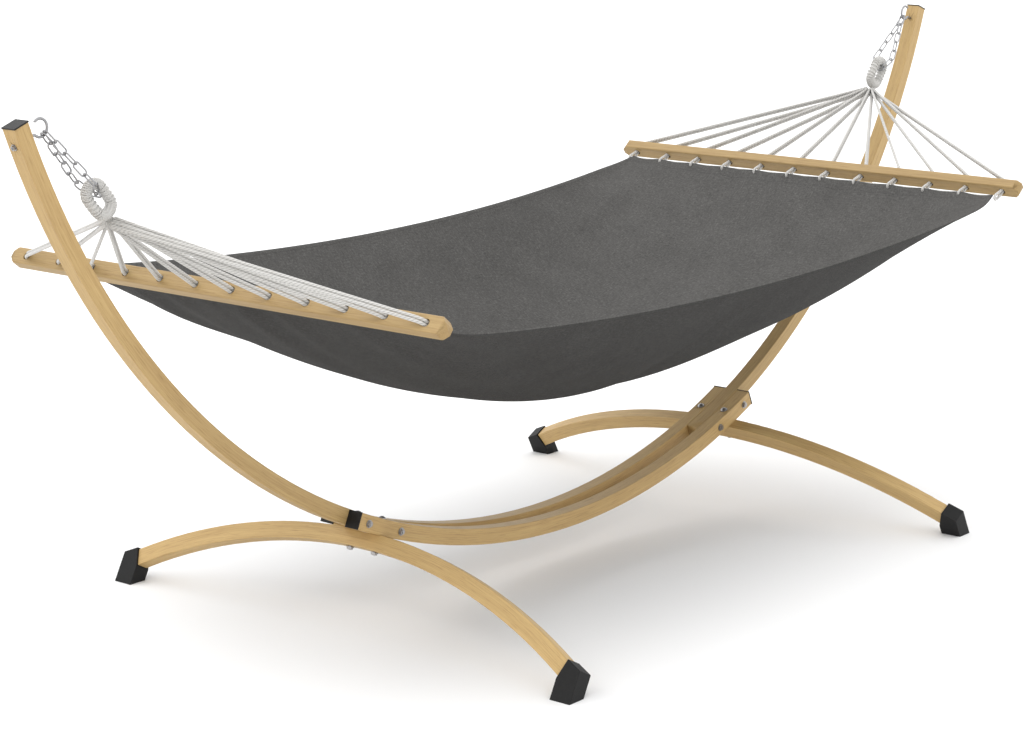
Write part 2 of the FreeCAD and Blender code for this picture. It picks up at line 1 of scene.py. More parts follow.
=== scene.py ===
"""Looks of the hammock on its curved wooden stand: oiled timber, heathered cloth, rope and steel."""
import bpy
import math
from mathutils import Matrix, Vector


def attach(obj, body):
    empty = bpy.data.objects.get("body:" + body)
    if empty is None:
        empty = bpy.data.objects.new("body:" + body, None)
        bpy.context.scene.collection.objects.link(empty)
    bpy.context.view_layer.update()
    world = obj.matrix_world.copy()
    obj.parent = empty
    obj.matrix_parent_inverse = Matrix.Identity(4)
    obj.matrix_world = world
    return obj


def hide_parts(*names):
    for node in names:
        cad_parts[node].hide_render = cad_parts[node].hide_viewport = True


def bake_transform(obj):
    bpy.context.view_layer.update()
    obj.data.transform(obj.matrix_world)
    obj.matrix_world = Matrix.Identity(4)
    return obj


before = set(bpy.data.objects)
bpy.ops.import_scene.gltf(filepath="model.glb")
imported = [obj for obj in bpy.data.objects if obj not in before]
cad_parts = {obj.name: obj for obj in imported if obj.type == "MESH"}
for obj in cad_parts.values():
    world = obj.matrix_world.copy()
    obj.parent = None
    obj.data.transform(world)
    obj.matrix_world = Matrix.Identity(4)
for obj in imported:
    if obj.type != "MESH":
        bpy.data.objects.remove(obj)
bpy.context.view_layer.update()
bpy.ops.object.select_all(action="DESELECT")

SIDES = (("left", -1.0), ("right", 1.0))
ARC_CENTRE_HEIGHT = 2.024            # of the centre beams' long arc
ARM_CENTRE = (0.03943, 1.86584)      # out from the middle, and height
ARM_RADIUS, MAIN_RADIUS = 1.752, 1.915
LEG_RADIUS = 1.374
LEG_LEAN = math.radians(28.1)
LEG_CROWN = (0.6990, 0.2218)         # out from the middle, and height
LEG_HALF_DEPTH = 0.02
BAR_CENTRE = (1.1556, 0.8594)        # out from the middle, and height
BAR_TILT = math.radians(39)
PLY_THICKNESS, FIRST_PLY = 0.0128, 0.0095
THREAD_SPACING, STITCH_LENGTH, STITCH_WIDTH = 0.0018, 0.0042, 0.0007
SIDE_SEAM_IN, END_SEAM_IN = 0.0115, 0.029
CLOTH_WIDTH, CLOTH_LENGTH = 1.40, 2.42


# ---------------------------------------------------------------- node helpers

def new_material(name, roughness, metallic=0.0):
    material = bpy.data.materials.new(name)
    material.use_nodes = True
    shader = material.node_tree.nodes["Principled BSDF"]
    shader.inputs["Roughness"].default_value = roughness
    shader.inputs["Metallic"].default_value = metallic
    return material, material.node_tree, shader


def add_node(tree, kind, **values):
    node = tree.nodes.new(kind)
    for key, value in values.items():
        setattr(node, key, value)
    return node


def maths(tree, operation, first, second=None):
    node = add_node(tree, "ShaderNodeMath", operation=operation)
    for socket, value in zip(node.inputs, (first, second)):
        if value is None:
            continue
        if isinstance(value, (int, float)):
            socket.default_value = value
        else:
            tree.links.new(value, socket)
    return node.outputs[0]


def ramp(tree, factor, stops):
    node = add_node(tree, "ShaderNodeValToRGB")
    elements = node.color_ramp.elements
    while len(elements) < len(stops):
        elements.new(0.5)
    for element, (place, colour) in zip(elements, stops):
        element.position = place
        element.color = (*colour, 1.0)
    tree.links.new(factor, node.inputs["Fac"])
    return node.outputs["Color"]


def noise(tree, vector, scale, detail=4.0, roughness=0.55, distortion=0.0):
    node = add_node(tree, "ShaderNodeTexNoise")
    node.inputs["Scale"].default_value = scale
    node.inputs["Detail"].default_value = detail
    node.inputs["Roughness"].default_value = roughness
    node.inputs["Distortion"].default_value = distortion
    tree.links.new(vector, node.inputs["Vector"])
    return node.outputs["Fac"]


def mixed(tree, factor, first, second, blend="MIX"):
    node = add_node(tree, "ShaderNodeMix", data_type="RGBA", blend_type=blend)
    for socket, value in ((node.inputs[0], factor), (node.inputs[6], first), (node.inputs[7], second)):
        if isinstance(value, (int, float)):
            socket.default_value = value
        elif isinstance(value, tuple):
            socket.default_value = (*value, 1.0)
        else:
            tree.links.new(value, socket)
    return node.outputs[2]


def bump(tree, shader, height, strength, distance):
    node = add_node(tree, "ShaderNodeBump")
    node.inputs["Strength"].default_value = strength
    node.inputs["Distance"].default_value = distance
    tree.links.new(height, node.inputs["Height"])
    tree.links.new(node.outputs["Normal"], shader.inputs["Normal"])


def object_place(tree, shift=(0, 0, 0), turn=(0, 0, 0)):
    """Object coordinates, moved and then turned."""
    coordinates = add_node(tree, "ShaderNodeTexCoord")
    moved = add_node(tree, "ShaderNodeVectorMath", operation="ADD")
    moved.inputs[1].default_value = shift
    tree.links.new(coordinates.outputs["Object"], moved.inputs[0])
    turned = add_node(tree, "ShaderNodeMapping")
    turned.inputs["Rotation"].default_value = turn
    tree.links.new(moved.outputs[0], turned.inputs["Vector"])
    return turned.outputs[0]


def split(tree, vector):
    node = add_node(tree, "ShaderNodeSeparateXYZ")
    tree.links.new(vector, node.inputs[0])
    return node.outputs


def joined(tree, x, y, z):
    node = add_node(tree, "ShaderNodeCombineXYZ")
    for socket, value in zip(node.inputs, (x, y, z)):
        if isinstance(value, (int, float)):
            socket.default_value = value
        else:
            tree.links.new(value, socket)
    return node.outputs[0]


# ---------------------------------------------------------------- timber

def timber(name, lengthwise, seed, tone=1.0):
    """Oiled light wood. lengthwise(tree) gives (along, through, across) distances in metres."""
    material, tree, shader = new_material(name, 0.5)
    along, through, across = lengthwise(tree)
    from_edge = maths(tree, "ADD", through, seed + FIRST_PLY)
    ply = maths(tree, "FLOOR", maths(tree, "DIVIDE", from_edge, PLY_THICKNESS))
    ply_shift = maths(tree, "MULTIPLY", ply, 3.713)
    slow = joined(tree, maths(tree, "ADD", maths(tree, "MULTIPLY", along, 0.9), ply_shift),
                  maths(tree, "MULTIPLY", through, 14.0), maths(tree, "MULTIPLY", across, 14.0))
    fine = joined(tree, maths(tree, "ADD", maths(tree, "MULTIPLY", along, 3.0), ply_shift),
                  maths(tree, "MULTIPLY", through, 210.0), maths(tree, "MULTIPLY", across, 210.0))
    streaks = noise(tree, fine, 2.4, 6.0, 0.66, 0.25)
    bands = noise(tree, slow, 1.9, 4.0, 0.55, 0.8)
    pores = noise(tree, joined(tree, maths(tree, "MULTIPLY", along, 22.0),
                               maths(tree, "MULTIPLY", through, 520.0),
                               maths(tree, "MULTIPLY", across, 520.0)), 1.0, 2.0, 0.5)
    grain = maths(tree, "ADD", maths(tree, "MULTIPLY", streaks, 0.70), maths(tree, "MULTIPLY", bands, 0.30))
    shades = ((0.30, (0.330, 0.211, 0.082)), (0.46, (0.425, 0.283, 0.117)),
              (0.58, (0.480, 0.330, 0.141)), (0.72, (0.535, 0.379, 0.171)))
    # tone scales the whole wood colour of one piece; the values given below hold painted light and shade
    colour = ramp(tree, grain, [(place, tuple(c * tone for c in shade)) for place, shade in shades])
    pore_mask = ramp(tree, pores, [(0.30, (0.62, 0.55, 0.48)), (0.44, (1.0, 1.0, 1.0))])
    colour = mixed(tree, 0.55, colour, pore_mask, "MULTIPLY")
    tree.links.new(colour, shader.inputs["Base Color"])
    rough = maths(tree, "ADD", maths(tree, "MULTIPLY", streaks, 0.22), 0.40)
    tree.links.new(rough, shader.inputs["Roughness"])
    relief = maths(tree, "ADD", maths(tree, "MULTIPLY", streaks, 0.6), maths(tree, "MULTIPLY", pores, 0.4))
    bump(tree, shader, relief, 0.35, 0.0006)
    shader.inputs["Specular IOR Level"].default_value = 0.35
    return material


def length_of(tree, first, second):
    """Length of the long side of a right-angled triangle."""
    squares = [maths(tree, "MULTIPLY", value, value) for value in (first, second)]
    return maths(tree, "SQRT", maths(tree, "ADD", *squares))


def around_arc(centre_x, centre_z, radius):
    """Distances along, through and across a beam bent in the XZ plane."""
    def lengthwise(tree):
        x, y, z = split(tree, object_place(tree, (-centre_x, 0, -centre_z)))
        angle = maths(tree, "ARCTAN2", x, maths(tree, "MULTIPLY", z, -1.0))
        reach = length_of(tree, x, z)
        return maths(tree, "MULTIPLY", angle, radius), maths(tree, "SUBTRACT", reach, radius), y
    return lengthwise


def around_leg(side):
    """The same for a cross leg, bent in its own leaning plane."""
    def lengthwise(tree):
        crown = (-side * LEG_CROWN[0], 0, -LEG_CROWN[1])
        x, y, z = split(tree, object_place(tree, crown, (0, side * LEG_LEAN, 0)))
        down = maths(tree, "MULTIPLY", z, -1.0)
        below = maths(tree, "SUBTRACT", LEG_RADIUS + LEG_HALF_DEPTH, down)
        angle = maths(tree, "ARCTAN2", y, below)
        reach = length_of(tree, y, below)
        return maths(tree, "MULTIPLY", angle, LEG_RADIUS), maths(tree, "SUBTRACT", reach, LEG_RADIUS), x
    return lengthwise


def along_bar(side):
    """The same for a spreader bar, which is straight."""
    def lengthwise(tree):
        centre = (-side * BAR_CENTRE[0], 0, -BAR_CENTRE[1])
        x, y, z = split(tree, object_place(tree, centre, (0, side * BAR_TILT, 0)))
        return y, x, z
    return lengthwise


# ---------------------------------------------------------------- rope, cloth, metal, rubber

def rope_finish(name, strands, lay_length, colour):
    """Laid rope: strands wind round the tube, with fibres along each strand. Reads the tube's own UV."""
    material, tree, shader = new_material(name, 0.85)
    place = add_node(tree, "ShaderNodeUVMap", uv_map="around_and_along")
    around, along, _ = split(tree, place.outputs[0])
    turns = maths(tree, "DIVIDE", along, lay_length)
    phase = maths(tree, "MULTIPLY", maths(tree, "ADD", around, turns), 2 * math.pi * strands)
    ridge = maths(tree, "ABSOLUTE", maths(tree, "SINE", maths(tree, "MULTIPLY", phase, 0.5)))
    fibre = noise(tree, joined(tree, maths(tree, "MULTIPLY", maths(tree, "ADD", around, turns), 30.0),
                               maths(tree, "MULTIPLY", along, 90.0), 0.0), 1.0, 3.0)
    wear = noise(tree, joined(tree, around, maths(tree, "MULTIPLY", along, 14.0), 0.3), 1.0, 3.0)
    # The grooves between strands are darkened to 0.62 of the rope colour: painted shade
    dark = tuple(c * 0.62 for c in colour)
    base = mixed(tree, ramp(tree, ridge, [(0.05, (0, 0, 0)), (0.55, (1, 1, 1))]), dark, colour)
    fibres = ramp(tree, fibre, [(0.3, (0.82, 0.81, 0.79)), (0.7, (1, 1, 1))])
    worn = ramp(tree, wear, [(0.3, (0.86, 0.84, 0.80)), (0.7, (1, 1, 1))])
    base = mixed(tree, 0.5, base, fibres, "MULTIPLY")
    base = mixed(tree, 0.4, base, worn, "MULTIPLY")
    tree.links.new(base, shader.inputs["Base Color"])
    relief = maths(tree, "ADD", ridge, maths(tree, "MULTIPLY", fibre, 0.3))
    bump(tree, shader, relief, 0.8, 0.0012)
    shader.inputs["Sheen Weight"].default_value = 0.25
    shader.inputs["Sheen Roughness"].default_value = 0.5
    return material


def bed_cloth(name, depth):
    """Charcoal plain weave with mixed light and dark threads, and a sewn hem all round."""
    material, tree, shader = new_material(name, 0.92)
    place = add_node(tree, "ShaderNodeUVMap", uv_map="cloth")
    across, along, _ = split(tree, place.outputs[0])
    warp = maths(tree, "SINE", maths(tree, "MULTIPLY", across, 2 * math.pi / THREAD_SPACING))
    weft = maths(tree, "SINE", maths(tree, "MULTIPLY", along, 2 * math.pi / THREAD_SPACING))
    weave = maths(tree, "MULTIPLY", warp, weft)
    warp_threads = noise(tree, joined(tree, maths(tree, "MULTIPLY", across, 420.0),
                                      maths(tree, "MULTIPLY", along, 45.0), 0.0), 1.0, 2.0)
    weft_threads = noise(tree, joined(tree, maths(tree, "MULTIPLY", across, 45.0),
                                      maths(tree, "MULTIPLY", along, 420.0), 4.0), 1.0, 2.0)
    flecks = noise(tree, joined(tree, maths(tree, "MULTIPLY", across, 170.0),
                                maths(tree, "MULTIPLY", along, 170.0), 2.0), 1.0, 4.0, 0.75)
    slubs = noise(tree, joined(tree, maths(tree, "MULTIPLY", across, 9.0),
                               maths(tree, "MULTIPLY", along, 9.0), 7.0), 1.0, 3.0, 0.6)
    threads = maths(tree, "MULTIPLY", maths(tree, "ADD", warp_threads, weft_threads), 0.5)
    tone = maths(tree, "ADD", maths(tree, "MULTIPLY", threads, 0.45), maths(tree, "MULTIPLY", flecks, 0.45))
    tone = maths(tree, "ADD", tone, maths(tree, "MULTIPLY", slubs, 0.10))
    shades = ((0.34, (0.044, 0.043, 0.041)), (0.50, (0.080, 0.078, 0.075)), (0.64, (0.134, 0.131, 0.126)))
    # depth scales the whole cloth colour; the underside copy uses 0.56, which is painted shade
    colour = ramp(tree, tone, [(place, tuple(c * depth for c in shade)) for place, shade in shades])

    def seam(over, half_size, inward, run):
        """Dashes of thread a little way in from one pair of edges."""
        from_edge = maths(tree, "SUBTRACT", half_size, maths(tree, "ABSOLUTE", over))
        off_line = maths(tree, "ABSOLUTE", maths(tree, "SUBTRACT", from_edge, inward))
        line = maths(tree, "LESS_THAN", off_line, STITCH_WIDTH)
        wave = maths(tree, "SINE", maths(tree, "MULTIPLY", run, 2 * math.pi / STITCH_LENGTH))
        return maths(tree, "MULTIPLY", line, maths(tree, "GREATER_THAN", wave, -0.2))

    stitch = maths(tree, "MAXIMUM", seam(across, CLOTH_WIDTH / 2, SIDE_SEAM_IN, along),
                   seam(along, CLOTH_LENGTH / 2, END_SEAM_IN, across))
    colour = mixed(tree, maths(tree, "MULTIPLY", stitch, 0.7), colour, (0.030, 0.030, 0.030))
    tree.links.new(colour, shader.inputs["Base Color"])
    uneven = maths(tree, "ADD", maths(tree, "MULTIPLY", flecks, 0.12), 0.84)
    tree.links.new(uneven, shader.inputs["Roughness"])
    relief = maths(tree, "ADD", maths(tree, "MULTIPLY", weave, 0.3), threads)
    relief = maths(tree, "SUBTRACT", relief, maths(tree, "MULTIPLY", stitch, 1.5))
    bump(tree, shader, relief, 0.5, 0.0009)
    shader.inputs["Specular IOR Level"].default_value = 0.12
    return material


def zinc_steel(name, colour, roughness):
    """Dull zinc with faint darker mottling and fine scuffs in its relief."""
    material, tree, shader = new_material(name, roughness, 1.0)
    place = object_place(tree)
    mottle = noise(tree, place, 420.0, 4.0, 0.6)
    scuff = noise(tree, place, 1600.0, 2.0, 0.5)
    base = ramp(tree, mottle, [(0.3, tuple(c * 0.62 for c in colour)), (0.7, colour)])
    tree.links.new(base, shader.inputs["Base Color"])
    uneven = maths(tree, "ADD", maths(tree, "MULTIPLY", mottle, 0.25), roughness - 0.1)
    tree.links.new(uneven, shader.inputs["Roughness"])
    bump(tree, shader, scuff, 0.15, 0.0002)
    return material


def moulded(name, colour, roughness, grain_scale, depth):
    """Moulded rubber or plastic with a fine leathery texture and dusty high spots."""
    material, tree, shader = new_material(name, roughness)
    place = object_place(tree)
    cells = add_node(tree, "ShaderNodeTexVoronoi")
    cells.inputs["Scale"].default_value = grain_scale
    tree.links.new(place, cells.inputs["Vector"])
    dust = noise(tree, place, 90.0, 5.0, 0.65)
    base = ramp(tree, dust, [(0.35, colour), (0.8, tuple(c * 1.7 for c in colour))])
    tree.links.new(base, shader.inputs["Base Color"])
    uneven = maths(tree, "ADD", maths(tree, "MULTIPLY", dust, 0.2), roughness - 0.1)
    tree.links.new(uneven, shader.inputs["Roughness"])
    bump(tree, shader, cells.outputs["Distance"], 0.4, depth)
    shader.inputs["Specular IOR Level"].default_value = 0.22
    return material


# Each piece's tone holds painted light and shade: the sunlit bars (0.74) and arms (0.93) are darkened, the
# shaded centre beams (1.06) and legs (1.09) lightened, on top of the wood's own tone
MAIN_TIMBER = timber("centre_beam_timber", around_arc(0.0, ARC_CENTRE_HEIGHT, MAIN_RADIUS), 0.0, 1.06)
ARM_TIMBER = {side: timber(name + "_arm_timber",
                           around_arc(side * ARM_CENTRE[0], ARM_CENTRE[1], ARM_RADIUS), 0.02, 0.93)
              for name, side in SIDES}
LEG_TIMBER = {side: timber(name + "_leg_timber", around_leg(side), 0.03, 1.09) for name, side in SIDES}
BAR_TIMBER = {side: timber(name + "_bar_timber", along_bar(side), 0.05, 0.74) for name, side in SIDES}
FAN_ROPE = rope_finish("soft_white_rope", 3, 0.026, (0.57, 0.562, 0.545))
WHIPPING = rope_finish("whipping_cord", 3, 0.018, (0.58, 0.572, 0.555))
CLOTH = bed_cloth("charcoal_heather_cloth", 1.0)
# Darker copy of the cloth for its underside: painted shade
CLOTH_PAINTED_SHADE_BACK = bed_cloth("charcoal_cloth_painted_shade_back", 0.56)
FASTENER_ZINC = zinc_steel("fastener_zinc", (0.46, 0.45, 0.45), 0.34)
CHAIN_ZINC = zinc_steel("chain_zinc", (0.40, 0.40, 0.41), 0.42)
BOOT_RUBBER = moulded("boot_rubber", (0.0085, 0.0085, 0.0085), 0.62, 900.0, 0.0003)
CAP_PLASTIC = moulded("cap_plastic", (0.0080, 0.0080, 0.0080), 0.45, 1400.0, 0.0002)


# ---------------------------------------------------------------- hard pieces of the frame

FLAT_ANGLE, ROUND_ANGLE, SHARP_ANGLE = 30.0, 50.0, 20.0       # degrees shaded as smooth
WELD_DISTANCE = 0.00002


def give(piece, material):
    piece.data.materials.clear()
    piece.data.materials.append(material)


def select_only(piece):
    bpy.ops.object.select_all(action="DESELECT")
    piece.select_set(True)
    bpy.context.view_layer.objects.active = piece


def finished_copy(node, body, material, angle=FLAT_ANGLE):
    """A merged, smoothly shaded copy that stands for a node of the frame."""
    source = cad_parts[node]
    mesh = source.data.copy()
    piece = bpy.data.objects.new(node + "_finished", mesh)
    bpy.context.scene.collection.objects.link(piece)
    select_only(piece)
    bpy.ops.object.mode_set(mode="EDIT")
    bpy.ops.mesh.select_all(action="SELECT")
    bpy.ops.mesh.remove_doubles(threshold=WELD_DISTANCE)
    bpy.ops.mesh.select_all(action="DESELECT")
    bpy.ops.object.mode_set(mode="OBJECT")
    bpy.ops.object.shade_smooth_by_angle(angle=math.radians(angle))
    evened = piece.modifiers.new("even_normals", "WEIGHTED_NORMAL")
    evened.keep_sharp = True
    give(piece, material)
    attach(piece, body)
    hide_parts(node)


for name, side in SIDES:
    finished_copy(name + "_arm", "stand", ARM_TIMBER[side])
    finished_copy(name + "_cross_leg", "stand", LEG_TIMBER[side])
    finished_copy(name + "_spreader_bar", name + "_hammock", BAR_TIMBER[side])
    finished_copy(name + "_arm_cap", "stand", CAP_PLASTIC)
    finished_copy(name + "_hook", "stand", CHAIN_ZINC, ROUND_ANGLE)
    finished_copy(name + "_chain", name + "_hammock", CHAIN_ZINC, ROUND_ANGLE)
    for row in ("near", "far"):
        finished_copy(name + "_" + row + "_boot", "stand", BOOT_RUBBER)
        finished_copy(row + "_beam_" + name + "_cap", "stand", CAP_PLASTIC)
for row in ("near", "far"):
    finished_copy(row + "_centre_beam", "stand", MAIN_TIMBER)
for family in ("clamp", "leg"):
    for kind in ("bolts", "nuts", "washers"):
        finished_copy(family + "_" + kind, "stand", FASTENER_ZINC, SHARP_ANGLE)
for kind in ("nuts", "washers"):
    finished_copy("hook_" + kind, "stand", FASTENER_ZINC, SHARP_ANGLE)


# ---------------------------------------------------------------- ropes

def smooth_line(points, resolution, cyclic=False):
    """Points along the smooth route that these control points give."""
    curve = bpy.data.curves.new("route", "CURVE")
    curve.dimensions = "3D"
    curve.resolution_u = resolution
    spline = curve.splines.new("NURBS")
    spline.points.add(len(points) - 1)
    for place, point in zip(spline.points, points):
        place.co = (*point, 1.0)
    spline.order_u = 3
    if cyclic:
        spline.use_cyclic_u = True
    else:
        spline.use_endpoint_u = True
    holder = bpy.data.objects.new("route", curve)
    bpy.context.scene.collection.objects.link(holder)
    bpy.context.view_layer.update()
    mesh = bpy.data.meshes.new_from_object(holder.evaluated_get(bpy.context.evaluated_depsgraph_get()))
    line = [vertex.co.copy() for vertex in mesh.vertices]
    bpy.data.meshes.remove(mesh)
    bpy.data.objects.remove(holder)
    bpy.data.curves.remove(curve)
    return line


def tube(name, line, radius, sides=10, cyclic=False):
    """Round tube along a line, closed at its ends, with a UV map of turns round and metres along."""
    count = len(line)
    tangents = []
    for i in range(count):
        ahead = line[(i + 1) % count] if cyclic or i < count - 1 else line[i]
        behind = line[i - 1] if cyclic or i > 0 else line[i]
        tangents.append((ahead - behind).normalized())
    side = tangents[0].orthogonal()
    vertices, runs, distance = [], [], 0.0
    for i, (point, tangent) in enumerate(zip(line, tangents)):
        if i:
            distance += (point - line[i - 1]).length
        runs.append(distance)
        side = (side - tangent * side.dot(tangent)).normalized()
        other = tangent.cross(side)
        for k in range(sides):
            turn = 2 * math.pi * k / sides
            vertices.append(point + (side * math.cos(turn) + other * math.sin(turn)) * radius)
    faces, face_uvs = [], []
    rings = count if cyclic else count - 1
    for i in range(rings):
        low, high = i * sides, ((i + 1) % count) * sides
        v0 = runs[i]
        v1 = runs[i + 1] if i + 1 < count else distance + (line[0] - line[-1]).length
        for k in range(sides):
            n = (k + 1) % sides
            faces.append((low + k, low + n, high + n, high + k))
            u0, u1 = k / sides, (k + 1) / sides
            face_uvs.append(((u0, v0), (u1, v0), (u1, v1), (u0, v1)))
    if not cyclic:
        faces.append(tuple(reversed(range(sides))))
        face_uvs.append(tuple((k / sides, 0.0) for k in reversed(range(sides))))
        last = (count - 1) * sides
        faces.append(tuple(range(last, last + sides)))
        face_uvs.append(tuple((k / sides, distance) for k in range(sides)))
    mesh = bpy.data.meshes.new(name)
    mesh.from_pydata([tuple(v) for v in vertices], [], faces)
    layer = mesh.uv_layers.new(name="around_and_along")
    i = 0
    for uvs in face_uvs:
        for uv in uvs:
            layer.data[i].uv = uv
            i += 1
    mesh.polygons.foreach_set("use_smooth", [len(face) == 4 for face in faces])
    mesh.update()
    piece = bpy.data.objects.new(name, mesh)
    bpy.context.scene.collection.objects.link(piece)
    return piece, distance


BAR_HALF_THICKNESS = 0.0145
HOLE_FRONT, HOLE_BACK = BAR_HALF_THICKNESS + 0.004, -BAR_HALF_THICKNESS - 0.002
HEM_CORD_RADIUS, WHIPPING_RADIUS = 0.0025, 0.0023
EYE_CORE_IN = 0.0031                        # from the eye's outside to its core
EYE_LEAN = math.radians(44)
EYE_CENTRE = Vector((1.4785, 0, 1.0958))
EYE_AXIS = Vector((-math.sin(EYE_LEAN), 0, -math.cos(EYE_LEAN)))
EYE_SIDE = EYE_AXIS.cross(Vector((0, 1, 0)))
EYE_TURN, EYE_STRAIGHT, EYE_TUBE = 0.0220, 0.0160, 0.0128
ROPE_RADIUS = 0.0037
LOOPS, LOOP_SPACING = 12, 0.1094


def bar_point(y, out, up):
    """Right-hand bar's own directions: along it, out through its holes, up its face."""
    return Vector((BAR_CENTRE[0] + out * math.cos(BAR_TILT) - up * math.sin(BAR_TILT), y,
                   BAR_CENTRE[1] + out * math.sin(BAR_TILT) + up * math.cos(BAR_TILT)))


HEM_OUT, HEM_UP = -0.0459, 0.0110           # of the hem cord, in the bar's own directions
FAN_CENTRE = Vector((1.4536, 0, 1.0496))
FAN_MIDDLE = (bar_point(0, HOLE_FRONT, 0) - FAN_CENTRE).normalized()
FAN_ABOVE = Vector((0, 1, 0)).cross(FAN_MIDDLE)
if FAN_ABOVE.z < 0:
    FAN_ABOVE.negate()


def loop_route(k):
    """Control points of one loop: neck, bar hole, round the hem cord, and back."""
    y = (k - (LOOPS - 1) / 2) * LOOP_SPACING
    level = 0.0067 if k % 2 else -0.0067
    ray = bar_point(y, HOLE_FRONT, 0) - FAN_CENTRE
    flat = (ray - FAN_ABOVE * ray.dot(FAN_ABOVE)).normalized()

    cord = bar_point(y, HEM_OUT, HEM_UP)
    slant = (cord - bar_point(y, HOLE_BACK, 0)).normalized()
    beside = Vector((0, 1, 0)).cross(slant)
    if beside.z < 0:
        beside.negate()

    def half(hand):
        begin = FAN_CENTRE + flat * 0.010 + FAN_ABOVE * (level * 0.8 + 0.0033 * hand)
        entry = bar_point(y, HOLE_FRONT, 0.0041 * hand)
        before = entry + (begin - entry).normalized() * 0.044
        leave = bar_point(y, HOLE_BACK, 0.0041 * hand)
        tip = cord + slant * 0.0075 + beside * (0.0082 * hand)
        return [begin, before, entry, leave, tip]
    return half(1) + half(-1)[::-1]


def mirrored(point, side):
    """The point itself on the right-hand side, its mirror image on the left."""
    return Vector((point.x * side, point.y, point.z))


def fan(name, side):
    """Twelve loops of rope from the eye's neck, through the bar and round the hem cord."""
    body = name + "_hammock"
    for k in range(LOOPS):
        route = [mirrored(p, side) for p in loop_route(k)]
        line = smooth_line(route, 10)
        rope, length = tube(name + "_fan_rope_" + str(k + 1), line, ROPE_RADIUS)
        give(rope, FAN_ROPE)
        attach(rope, body)
        if k == 0:
            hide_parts(name + "_fan_ropes")


def hem_cord(name, side):
    """Cord in the end hem that the loops pull on."""
    points = [mirrored(bar_point(y, HEM_OUT, HEM_UP), side) for y in (-0.585, -0.3, 0.0, 0.3, 0.585)]
    cord, _ = tube(name + "_hem_cord_laid", smooth_line(points, 24), HEM_CORD_RADIUS)
    give(cord, FAN_ROPE)
    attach(cord, name + "_hammock")
    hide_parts(name + "_hem_cord")


def eye_route():
    """Control points round the eye's oblong centreline."""
    places = []
    reach = 1.03 * EYE_TURN
    for turn in range(0, 360, 30):
        angle = math.radians(turn)
        lift = EYE_STRAIGHT if math.cos(angle) > 0 else -EYE_STRAIGHT
        places.append((lift + reach * math.cos(angle), reach * math.sin(angle)))
    return places


def rope_eye(name, side):
    """Oblong eye of rope, wound all the way round with cord."""
    body = name + "_hammock"
    route = [mirrored(EYE_CENTRE + EYE_AXIS * u + EYE_SIDE * v, side) for u, v in eye_route()]
    line = smooth_line(route, 16, cyclic=True)
    core, length = tube(name + "_eye_core", line, EYE_TUBE - EYE_CORE_IN, 20, cyclic=True)
    give(core, WHIPPING)
    turns = round(length / (2 * WHIPPING_RADIUS * 1.02))
    flat_side = Vector((0, 1, 0))
    reach = EYE_TUBE - WHIPPING_RADIUS
    count = len(line)
    steps = turns * 18
    winding = []
    for i in range(steps):
        place = i / steps * count
        a, b = line[int(place) % count], line[(int(place) + 1) % count]
        centre = a.lerp(b, place - int(place))
        tangent = (b - a).normalized()
        outward = tangent.cross(flat_side).normalized()
        angle = 2 * math.pi * turns * i / steps
        winding.append(centre + (outward * math.cos(angle) + flat_side * math.sin(angle)) * reach)
    wound, _ = tube(name + "_eye_whipping", winding, WHIPPING_RADIUS, 8, cyclic=True)
    give(wound, WHIPPING)
    for piece in (core, wound):
        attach(piece, body)
    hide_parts(name + "_rope_eye")


for name, side in SIDES:
    fan(name, side)
    hem_cord(name, side)
    rope_eye(name, side)


# ---------------------------------------------------------------- cloth bed

BED_END, BED_END_HEIGHT = 1.1150, 0.8405
BED_HALF_WIDTH, BED_WAIST = 0.6180, 0.0210
HEM_HALF_WIDTH = 0.5920
EDGE_SAG, BELLY = 0.0670, 0.3300
CLOTH_THICKNESS = 0.0018
MOST_SETTLED = 0.008
SIMULATED_FRAMES = 14
SIDE_HEM, END_HEM = 0.014, 0.032            # widths of the turned and sewn hems
ROWS, COLUMNS = 176, 112
RIPPLES = (                                  # waves across, drift along, phase, height in metres
    (7.3, 1.7, 0.4, 0.0016), (11.9, -2.3, 2.1, 0.0012), (17.1, 3.1, 4.4, 0.0009), (4.7, 4.3, 1.2, 0.0020))


def bed_place(u, v):
    """Resting shape of the cloth: u runs from the left hem to the right one, v across."""
    reach = abs(u)
    width = BED_HALF_WIDTH - BED_WAIST * (1 - u * u)
    width -= (BED_HALF_WIDTH - HEM_HALF_WIDTH) * max(0.0, (reach - 0.86) / 0.14) ** 2
    edge = BED_END_HEIGHT - EDGE_SAG * (1 - u * u)
    depth = BELLY * (1 - reach ** 1.672) ** 0.773
    fullness = 1.75 + (2.0 if u > 0 else 1.3) * reach
    return Vector((BED_END * u, width * v, edge - depth * (1 - abs(v) ** fullness)))


def bed_relief(u, v):
    """Heights of the folds the loops pull into the hem, and of the slack ripples beyond them."""
    from_hem = (1 - abs(u)) * BED_END
    pulled = math.exp(-from_hem / 0.16)
    y = v * HEM_HALF_WIDTH
    loops = math.cos(2 * math.pi * y / LOOP_SPACING + math.pi) * 0.0028 * pulled
    swell = sum(height * math.sin(waves * v + drift * u + phase) for waves, drift, phase, height in RIPPLES)
    fading = math.exp(-from_hem / 0.55)
    folds = math.sin(21.0 * v + 2.5 * u + 0.7 * math.sin(3 * v)) * 0.0032 * fading
    slack = math.exp(-((u + 0.62) / 0.26) ** 2 - ((abs(v) - 0.72) / 0.24) ** 2)
    folds += math.sin(26.0 * u + 15.0 * abs(v)) * 0.0034 * slack
    return loops + (swell + folds) * min(1.0, from_hem / 0.05) * (1 - v ** 8)


